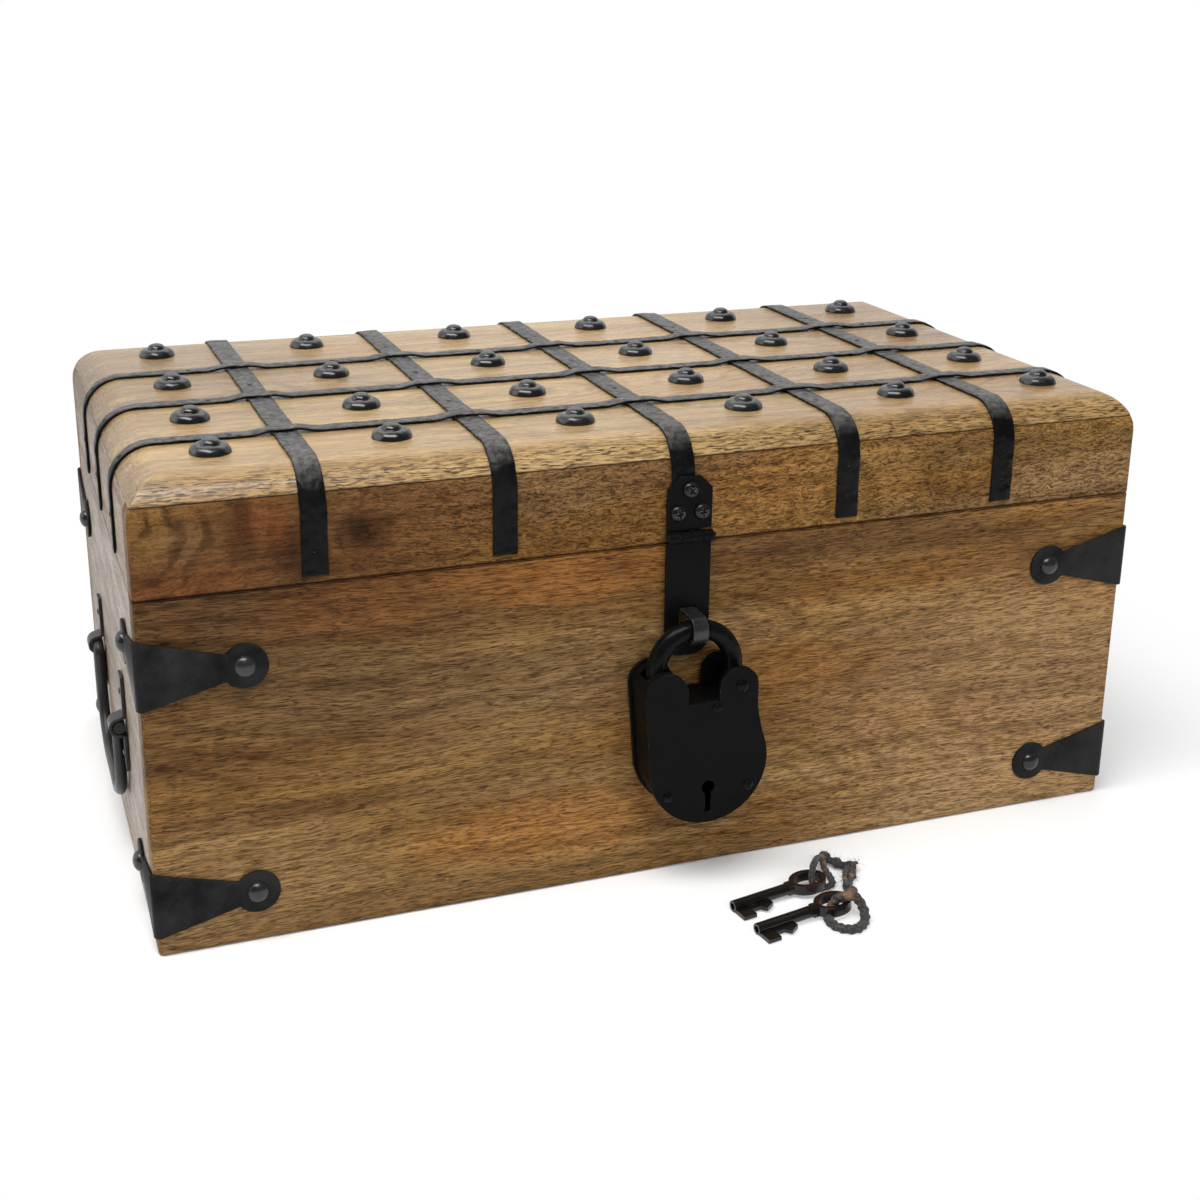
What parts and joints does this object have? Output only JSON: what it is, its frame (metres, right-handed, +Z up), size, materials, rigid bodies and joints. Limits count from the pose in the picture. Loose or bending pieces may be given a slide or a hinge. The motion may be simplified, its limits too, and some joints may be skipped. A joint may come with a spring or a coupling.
{
  "type": "treasure chest",
  "caption": "Rectangular wooden storage chest with a hinged, iron-strapped and studded lid, hasp and staple, lever padlock, drop handles, corner brackets and a pair of keys.",
  "frame": {"origin": "centre of the chest's underside, in the plane it stands on", "axes": "+X along the length to the right as seen from the front, +Y to the back, +Z up"},
  "size_m": [0.4728, 0.3395, 0.2098],
  "materials": {
    "mango_wood": "oiled mango wood with fine dark pores",
    "mango_wood_top": "oiled mango wood, lighter and worn along the rounded edge",
    "plain_wood": "plain sanded wood",
    "hammered_iron": "hammered dark iron, satin",
    "black_iron": "blackened iron",
    "black_steel": "satin black",
    "twine": "grey-brown hairy twine"
  },
  "bodies": {
    "base": {"front_board": "mango_wood", "back_board": "mango_wood", "left_end_board": "mango_wood", "right_end_board": "mango_wood", "bottom_board": "plain_wood", "staple": "black_steel", "bracket_back_left_lower": "black_iron", "bracket_back_left_upper": "black_iron", "bracket_back_right_lower": "black_iron", "bracket_back_right_upper": "black_iron", "bracket_front_left_lower": "black_iron", "bracket_front_left_upper": "black_iron", "bracket_front_right_lower": "black_iron", "bracket_front_right_upper": "black_iron", "left_clip_back": "black_iron", "left_clip_front": "black_iron", "right_clip_back": "black_iron", "right_clip_front": "black_iron", "left_hinge_base_leaf": "black_iron", "right_hinge_base_leaf": "black_iron", "left_hinge_pin": "black_iron", "right_hinge_pin": "black_iron"},
    "lid": {"lid_top_board": "mango_wood_top", "lid_front_rail": "mango_wood", "lid_back_rail": "mango_wood", "lid_left_rail": "mango_wood", "lid_right_rail": "mango_wood", "cross_strap_1": "hammered_iron", "cross_strap_2": "hammered_iron", "cross_strap_3": "hammered_iron", "cross_strap_4": "hammered_iron", "cross_strap_5": "hammered_iron", "long_strap_1": "hammered_iron", "long_strap_2": "hammered_iron", "long_strap_3": "hammered_iron", "hasp_plate": "black_steel", "hasp_pin": "black_steel", "hasp_screw_1": "black_steel", "hasp_screw_2": "black_steel", "hasp_screw_3": "black_steel", "left_hinge_lid_leaf": "black_iron", "right_hinge_lid_leaf": "black_iron"},
    "hasp": {"hasp_arm": "black_steel"},
    "shackle": {"padlock_shackle": "black_steel"},
    "padlock_case": {"padlock_front_plate": "black_steel", "padlock_back_plate": "black_steel", "padlock_rim": "black_steel", "padlock_pivot_rivet": "black_steel", "padlock_guide_rivet": "black_steel", "padlock_left_rivet": "black_steel", "padlock_right_rivet": "black_steel"},
    "lock_bolt": {"padlock_bolt": "black_steel"},
    "left_handle": {"left_bail": "black_iron"},
    "right_handle": {"right_bail": "black_iron"},
    "keys": {"key_1": "black_iron", "key_2": "black_iron", "key_twine": "twine"}
  },
  "joints": [
    {"name": "lid_hinge", "type": "hinge", "parent": "base", "child": "lid", "pos_m": [0, 0.1304, 0.1557], "axis": [-1, 0, 0], "range_deg": [0, 110]},
    {"name": "hasp_swing", "type": "hinge", "parent": "lid", "child": "hasp", "pos_m": [0.0024, -0.1321, 0.1594], "axis": [-1, 0, 0], "range_deg": [0, 5]},
    {"name": "padlock_swing", "type": "hinge", "parent": "base", "child": "shackle", "pos_m": [0.0024, -0.1403, 0.1205], "axis": [-1, 0, 0], "range_deg": [0, 80]},
    {"name": "padlock_open", "type": "hinge", "parent": "shackle", "child": "padlock_case", "pos_m": [0.0204, -0.1403, 0.0957], "axis": [0, -1, 0], "range_deg": [0, 60]},
    {"name": "bolt_throw", "type": "slide", "parent": "padlock_case", "child": "lock_bolt", "axis": [-1, 0, 0], "range_m": [0, 0.0024]},
    {"name": "left_handle_swing", "type": "hinge", "parent": "base", "child": "left_handle", "pos_m": [-0.2319, 0, 0.072], "axis": [0, 1, 0], "range_deg": [0, 175]},
    {"name": "right_handle_swing", "type": "hinge", "parent": "base", "child": "right_handle", "pos_m": [0.2319, 0, 0.072], "axis": [0, -1, 0], "range_deg": [0, 175]},
    {"name": "keys_lift_off", "type": "slide", "parent": "base", "child": "keys", "axis": [0, 0, 1], "range_m": [0, 0.25]}
  ]
}
